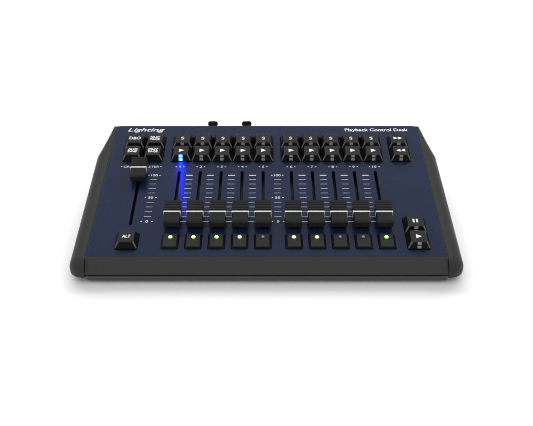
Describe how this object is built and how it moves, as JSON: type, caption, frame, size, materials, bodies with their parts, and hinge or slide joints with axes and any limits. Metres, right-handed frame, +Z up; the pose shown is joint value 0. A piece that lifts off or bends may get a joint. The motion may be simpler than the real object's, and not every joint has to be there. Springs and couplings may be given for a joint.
{
  "type": "lighting control desk",
  "caption": "Compact desktop lighting console with a sloping blue panel, sliding faders, lit keycaps and flash buttons, moulded end cheeks and rear XLR outlets.",
  "frame": {"origin": "on the table, under the middle of the desk's outer box", "axes": "+Z up, +X to the operator's right, +Y away from the operator; the panel slopes up towards +Y by 8 degrees"},
  "size_m": [0.32, 0.2056, 0.0488],
  "materials": {
    "cover_paint": "dark grey powder coat",
    "panel_overlay": "dark blue polyester, finely textured",
    "tray_paint": "fine black powder coat",
    "cheek_plastic": "black, fine moulded grain",
    "circuit_board": "green solder mask",
    "connector_black": "black nylon",
    "rubber": "matte",
    "screw_steel": "black zinc plate",
    "keycap_plastic": "dark grey, lightly textured",
    "fader_plastic": "dark grey, soft touch",
    "button_plastic": "dark grey, lightly textured",
    "print_white": "screen-printed white ink",
    "light_pipe": "clear light guide",
    "blue_light": "lit light guide",
    "green_light": "lit lens"
  },
  "bodies": {
    "desk": {"top_cover": "cover_paint", "bottom_tray": "tray_paint", "left_cheek": "cheek_plastic", "right_cheek": "cheek_plastic", "control_board": "circuit_board", "rear_sockets": "connector_black", "rubber_feet": "rubber", "screws": "screw_steel"},
    "master_fader": {"master_fader": "fader_plastic"},
    "fader_1": {"fader_1": "fader_plastic"},
    "fader_2": {"fader_2": "fader_plastic"},
    "fader_3": {"fader_3": "fader_plastic"},
    "fader_4": {"fader_4": "fader_plastic"},
    "fader_5": {"fader_5": "fader_plastic"},
    "fader_6": {"fader_6": "fader_plastic"},
    "fader_7": {"fader_7": "fader_plastic"},
    "fader_8": {"fader_8": "fader_plastic"},
    "fader_9": {"fader_9": "fader_plastic"},
    "fader_10": {"fader_10": "fader_plastic"},
    "outlet_latch_1": {"outlet_latch_1": "connector_black"},
    "outlet_latch_2": {"outlet_latch_2": "connector_black"},
    "key_blackout": {"key_blackout": "keycap_plastic"},
    "key_next": {"key_next": "keycap_plastic"},
    "key_add": {"key_add": "keycap_plastic"},
    "key_prev": {"key_prev": "keycap_plastic"},
    "key_forward": {"key_forward": "keycap_plastic"},
    "key_back": {"key_back": "keycap_plastic"},
    "key_pause": {"key_pause": "keycap_plastic"},
    "key_go": {"key_go": "keycap_plastic"},
    "key_alt": {"key_alt": "keycap_plastic"},
    "select_key_1": {"select_key_1": "keycap_plastic"},
    "select_key_2": {"select_key_2": "keycap_plastic"},
    "select_key_3": {"select_key_3": "keycap_plastic"},
    "select_key_4": {"select_key_4": "keycap_plastic"},
    "select_key_5": {"select_key_5": "keycap_plastic"},
    "select_key_6": {"select_key_6": "keycap_plastic"},
    "select_key_7": {"select_key_7": "keycap_plastic"},
    "select_key_8": {"select_key_8": "keycap_plastic"},
    "select_key_9": {"select_key_9": "keycap_plastic"},
    "select_key_10": {"select_key_10": "keycap_plastic"},
    "go_key_1": {"go_key_1": "keycap_plastic"},
    "go_key_2": {"go_key_2": "keycap_plastic"},
    "go_key_3": {"go_key_3": "keycap_plastic"},
    "go_key_4": {"go_key_4": "keycap_plastic"},
    "go_key_5": {"go_key_5": "keycap_plastic"},
    "go_key_6": {"go_key_6": "keycap_plastic"},
    "go_key_7": {"go_key_7": "keycap_plastic"},
    "go_key_8": {"go_key_8": "keycap_plastic"},
    "go_key_9": {"go_key_9": "keycap_plastic"},
    "go_key_10": {"go_key_10": "keycap_plastic"},
    "flash_button_1": {"flash_button_1": "button_plastic"},
    "flash_button_2": {"flash_button_2": "button_plastic"},
    "flash_button_3": {"flash_button_3": "button_plastic"},
    "flash_button_4": {"flash_button_4": "button_plastic"},
    "flash_button_5": {"flash_button_5": "button_plastic"},
    "flash_button_6": {"flash_button_6": "button_plastic"},
    "flash_button_7": {"flash_button_7": "button_plastic"},
    "flash_button_8": {"flash_button_8": "button_plastic"},
    "flash_button_9": {"flash_button_9": "button_plastic"},
    "flash_button_10": {"flash_button_10": "button_plastic"}
  },
  "joints": [
    {"name": "master_fader_slide", "type": "slide", "parent": "desk", "child": "master_fader", "axis": [0, 0.9903, 0.1392], "range_m": [-0.06, 0]},
    {"name": "fader_1_slide", "type": "slide", "parent": "desk", "child": "fader_1", "axis": [0, 0.9903, 0.1392], "range_m": [0, 0.06]},
    {"name": "fader_2_slide", "type": "slide", "parent": "desk", "child": "fader_2", "axis": [0, 0.9903, 0.1392], "range_m": [0, 0.06]},
    {"name": "fader_3_slide", "type": "slide", "parent": "desk", "child": "fader_3", "axis": [0, 0.9903, 0.1392], "range_m": [0, 0.06]},
    {"name": "fader_4_slide", "type": "slide", "parent": "desk", "child": "fader_4", "axis": [0, 0.9903, 0.1392], "range_m": [0, 0.06]},
    {"name": "fader_5_slide", "type": "slide", "parent": "desk", "child": "fader_5", "axis": [0, 0.9903, 0.1392], "range_m": [0, 0.06]},
    {"name": "fader_6_slide", "type": "slide", "parent": "desk", "child": "fader_6", "axis": [0, 0.9903, 0.1392], "range_m": [0, 0.06]},
    {"name": "fader_7_slide", "type": "slide", "parent": "desk", "child": "fader_7", "axis": [0, 0.9903, 0.1392], "range_m": [0, 0.06]},
    {"name": "fader_8_slide", "type": "slide", "parent": "desk", "child": "fader_8", "axis": [0, 0.9903, 0.1392], "range_m": [0, 0.06]},
    {"name": "fader_9_slide", "type": "slide", "parent": "desk", "child": "fader_9", "axis": [0, 0.9903, 0.1392], "range_m": [0, 0.06]},
    {"name": "fader_10_slide", "type": "slide", "parent": "desk", "child": "fader_10", "axis": [0, 0.9903, 0.1392], "range_m": [0, 0.06]},
    {"name": "outlet_latch_1_press", "type": "slide", "parent": "desk", "child": "outlet_latch_1", "axis": [0, 0.1392, -0.9903], "range_m": [0, 0.0015], "stiffness_N_per_m": 600, "springref_m": -0.001},
    {"name": "outlet_latch_2_press", "type": "slide", "parent": "desk", "child": "outlet_latch_2", "axis": [0, 0.1392, -0.9903], "range_m": [0, 0.0015], "stiffness_N_per_m": 600, "springref_m": -0.001},
    {"name": "key_blackout_press", "type": "slide", "parent": "desk", "child": "key_blackout", "axis": [0, 0.1392, -0.9903], "range_m": [0, 0.003], "stiffness_N_per_m": 150, "springref_m": -0.002},
    {"name": "key_next_press", "type": "slide", "parent": "desk", "child": "key_next", "axis": [0, 0.1392, -0.9903], "range_m": [0, 0.003], "stiffness_N_per_m": 150, "springref_m": -0.002},
    {"name": "key_add_press", "type": "slide", "parent": "desk", "child": "key_add", "axis": [0, 0.1392, -0.9903], "range_m": [0, 0.003], "stiffness_N_per_m": 150, "springref_m": -0.002},
    {"name": "key_prev_press", "type": "slide", "parent": "desk", "child": "key_prev", "axis": [0, 0.1392, -0.9903], "range_m": [0, 0.003], "stiffness_N_per_m": 150, "springref_m": -0.002},
    {"name": "key_forward_press", "type": "slide", "parent": "desk", "child": "key_forward", "axis": [0, 0.1392, -0.9903], "range_m": [0, 0.003], "stiffness_N_per_m": 150, "springref_m": -0.002},
    {"name": "key_back_press", "type": "slide", "parent": "desk", "child": "key_back", "axis": [0, 0.1392, -0.9903], "range_m": [0, 0.003], "stiffness_N_per_m": 150, "springref_m": -0.002},
    {"name": "key_pause_press", "type": "slide", "parent": "desk", "child": "key_pause", "axis": [0, 0.1392, -0.9903], "range_m": [0, 0.003], "stiffness_N_per_m": 150, "springref_m": -0.002},
    {"name": "key_go_press", "type": "slide", "parent": "desk", "child": "key_go", "axis": [0, 0.1392, -0.9903], "range_m": [0, 0.003], "stiffness_N_per_m": 150, "springref_m": -0.002},
    {"name": "key_alt_press", "type": "slide", "parent": "desk", "child": "key_alt", "axis": [0, 0.1392, -0.9903], "range_m": [0, 0.003], "stiffness_N_per_m": 150, "springref_m": -0.002},
    {"name": "select_key_1_press", "type": "slide", "parent": "desk", "child": "select_key_1", "axis": [0, 0.1392, -0.9903], "range_m": [0, 0.003], "stiffness_N_per_m": 150, "springref_m": -0.002},
    {"name": "select_key_2_press", "type": "slide", "parent": "desk", "child": "select_key_2", "axis": [0, 0.1392, -0.9903], "range_m": [0, 0.003], "stiffness_N_per_m": 150, "springref_m": -0.002},
    {"name": "select_key_3_press", "type": "slide", "parent": "desk", "child": "select_key_3", "axis": [0, 0.1392, -0.9903], "range_m": [0, 0.003], "stiffness_N_per_m": 150, "springref_m": -0.002},
    {"name": "select_key_4_press", "type": "slide", "parent": "desk", "child": "select_key_4", "axis": [0, 0.1392, -0.9903], "range_m": [0, 0.003], "stiffness_N_per_m": 150, "springref_m": -0.002},
    {"name": "select_key_5_press", "type": "slide", "parent": "desk", "child": "select_key_5", "axis": [0, 0.1392, -0.9903], "range_m": [0, 0.003], "stiffness_N_per_m": 150, "springref_m": -0.002},
    {"name": "select_key_6_press", "type": "slide", "parent": "desk", "child": "select_key_6", "axis": [0, 0.1392, -0.9903], "range_m": [0, 0.003], "stiffness_N_per_m": 150, "springref_m": -0.002},
    {"name": "select_key_7_press", "type": "slide", "parent": "desk", "child": "select_key_7", "axis": [0, 0.1392, -0.9903], "range_m": [0, 0.003], "stiffness_N_per_m": 150, "springref_m": -0.002},
    {"name": "select_key_8_press", "type": "slide", "parent": "desk", "child": "select_key_8", "axis": [0, 0.1392, -0.9903], "range_m": [0, 0.003], "stiffness_N_per_m": 150, "springref_m": -0.002},
    {"name": "select_key_9_press", "type": "slide", "parent": "desk", "child": "select_key_9", "axis": [0, 0.1392, -0.9903], "range_m": [0, 0.003], "stiffness_N_per_m": 150, "springref_m": -0.002},
    {"name": "select_key_10_press", "type": "slide", "parent": "desk", "child": "select_key_10", "axis": [0, 0.1392, -0.9903], "range_m": [0, 0.003], "stiffness_N_per_m": 150, "springref_m": -0.002},
    {"name": "go_key_1_press", "type": "slide", "parent": "desk", "child": "go_key_1", "axis": [0, 0.1392, -0.9903], "range_m": [0, 0.003], "stiffness_N_per_m": 150, "springref_m": -0.002},
    {"name": "go_key_2_press", "type": "slide", "parent": "desk", "child": "go_key_2", "axis": [0, 0.1392, -0.9903], "range_m": [0, 0.003], "stiffness_N_per_m": 150, "springref_m": -0.002},
    {"name": "go_key_3_press", "type": "slide", "parent": "desk", "child": "go_key_3", "axis": [0, 0.1392, -0.9903], "range_m": [0, 0.003], "stiffness_N_per_m": 150, "springref_m": -0.002},
    {"name": "go_key_4_press", "type": "slide", "parent": "desk", "child": "go_key_4", "axis": [0, 0.1392, -0.9903], "range_m": [0, 0.003], "stiffness_N_per_m": 150, "springref_m": -0.002},
    {"name": "go_key_5_press", "type": "slide", "parent": "desk", "child": "go_key_5", "axis": [0, 0.1392, -0.9903], "range_m": [0, 0.003], "stiffness_N_per_m": 150, "springref_m": -0.002},
    {"name": "go_key_6_press", "type": "slide", "parent": "desk", "child": "go_key_6", "axis": [0, 0.1392, -0.9903], "range_m": [0, 0.003], "stiffness_N_per_m": 150, "springref_m": -0.002},
    {"name": "go_key_7_press", "type": "slide", "parent": "desk", "child": "go_key_7", "axis": [0, 0.1392, -0.9903], "range_m": [0, 0.003], "stiffness_N_per_m": 150, "springref_m": -0.002},
    {"name": "go_key_8_press", "type": "slide", "parent": "desk", "child": "go_key_8", "axis": [0, 0.1392, -0.9903], "range_m": [0, 0.003], "stiffness_N_per_m": 150, "springref_m": -0.002},
    {"name": "go_key_9_press", "type": "slide", "parent": "desk", "child": "go_key_9", "axis": [0, 0.1392, -0.9903], "range_m": [0, 0.003], "stiffness_N_per_m": 150, "springref_m": -0.002},
    {"name": "go_key_10_press", "type": "slide", "parent": "desk", "child": "go_key_10", "axis": [0, 0.1392, -0.9903], "range_m": [0, 0.003], "stiffness_N_per_m": 150, "springref_m": -0.002},
    {"name": "flash_button_1_press", "type": "slide", "parent": "desk", "child": "flash_button_1", "axis": [0, 0.1392, -0.9903], "range_m": [0, 0.001], "stiffness_N_per_m": 600, "springref_m": -0.001},
    {"name": "flash_button_2_press", "type": "slide", "parent": "desk", "child": "flash_button_2", "axis": [0, 0.1392, -0.9903], "range_m": [0, 0.001], "stiffness_N_per_m": 600, "springref_m": -0.001},
    {"name": "flash_button_3_press", "type": "slide", "parent": "desk", "child": "flash_button_3", "axis": [0, 0.1392, -0.9903], "range_m": [0, 0.001], "stiffness_N_per_m": 600, "springref_m": -0.001},
    {"name": "flash_button_4_press", "type": "slide", "parent": "desk", "child": "flash_button_4", "axis": [0, 0.1392, -0.9903], "range_m": [0, 0.001], "stiffness_N_per_m": 600, "springref_m": -0.001},
    {"name": "flash_button_5_press", "type": "slide", "parent": "desk", "child": "flash_button_5", "axis": [0, 0.1392, -0.9903], "range_m": [0, 0.001], "stiffness_N_per_m": 600, "springref_m": -0.001},
    {"name": "flash_button_6_press", "type": "slide", "parent": "desk", "child": "flash_button_6", "axis": [0, 0.1392, -0.9903], "range_m": [0, 0.001], "stiffness_N_per_m": 600, "springref_m": -0.001},
    {"name": "flash_button_7_press", "type": "slide", "parent": "desk", "child": "flash_button_7", "axis": [0, 0.1392, -0.9903], "range_m": [0, 0.001], "stiffness_N_per_m": 600, "springref_m": -0.001},
    {"name": "flash_button_8_press", "type": "slide", "parent": "desk", "child": "flash_button_8", "axis": [0, 0.1392, -0.9903], "range_m": [0, 0.001], "stiffness_N_per_m": 600, "springref_m": -0.001},
    {"name": "flash_button_9_press", "type": "slide", "parent": "desk", "child": "flash_button_9", "axis": [0, 0.1392, -0.9903], "range_m": [0, 0.001], "stiffness_N_per_m": 600, "springref_m": -0.001},
    {"name": "flash_button_10_press", "type": "slide", "parent": "desk", "child": "flash_button_10", "axis": [0, 0.1392, -0.9903], "range_m": [0, 0.001], "stiffness_N_per_m": 600, "springref_m": -0.001}
  ]
}
